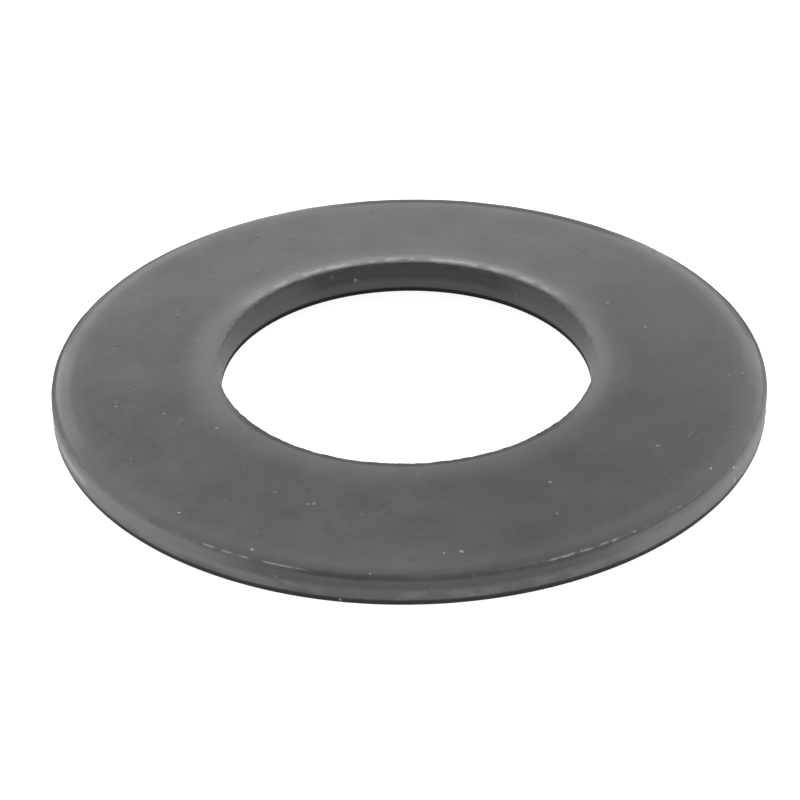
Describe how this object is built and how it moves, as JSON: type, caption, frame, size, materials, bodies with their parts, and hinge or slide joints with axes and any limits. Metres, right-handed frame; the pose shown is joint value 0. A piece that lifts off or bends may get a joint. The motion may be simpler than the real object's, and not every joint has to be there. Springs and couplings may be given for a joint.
{
  "type": "conical spring washer",
  "caption": "Shallow cone-shaped ring of dark spring steel with sheared, rolled-over edges and a clear bore for a bolt or guide pin.",
  "frame": {"origin": "on the washer's axis, at the level of the foot of its rim", "axes": "+Z along the washer's axis, from the hollow side to the crowned side"},
  "size_m": [0.0314, 0.0314, 0.0023],
  "materials": {
    "spring_steel": "black-oxide and oil, dull satin"
  },
  "bodies": {
    "root": {"washer": "spring_steel"}
  },
  "joints": []
}
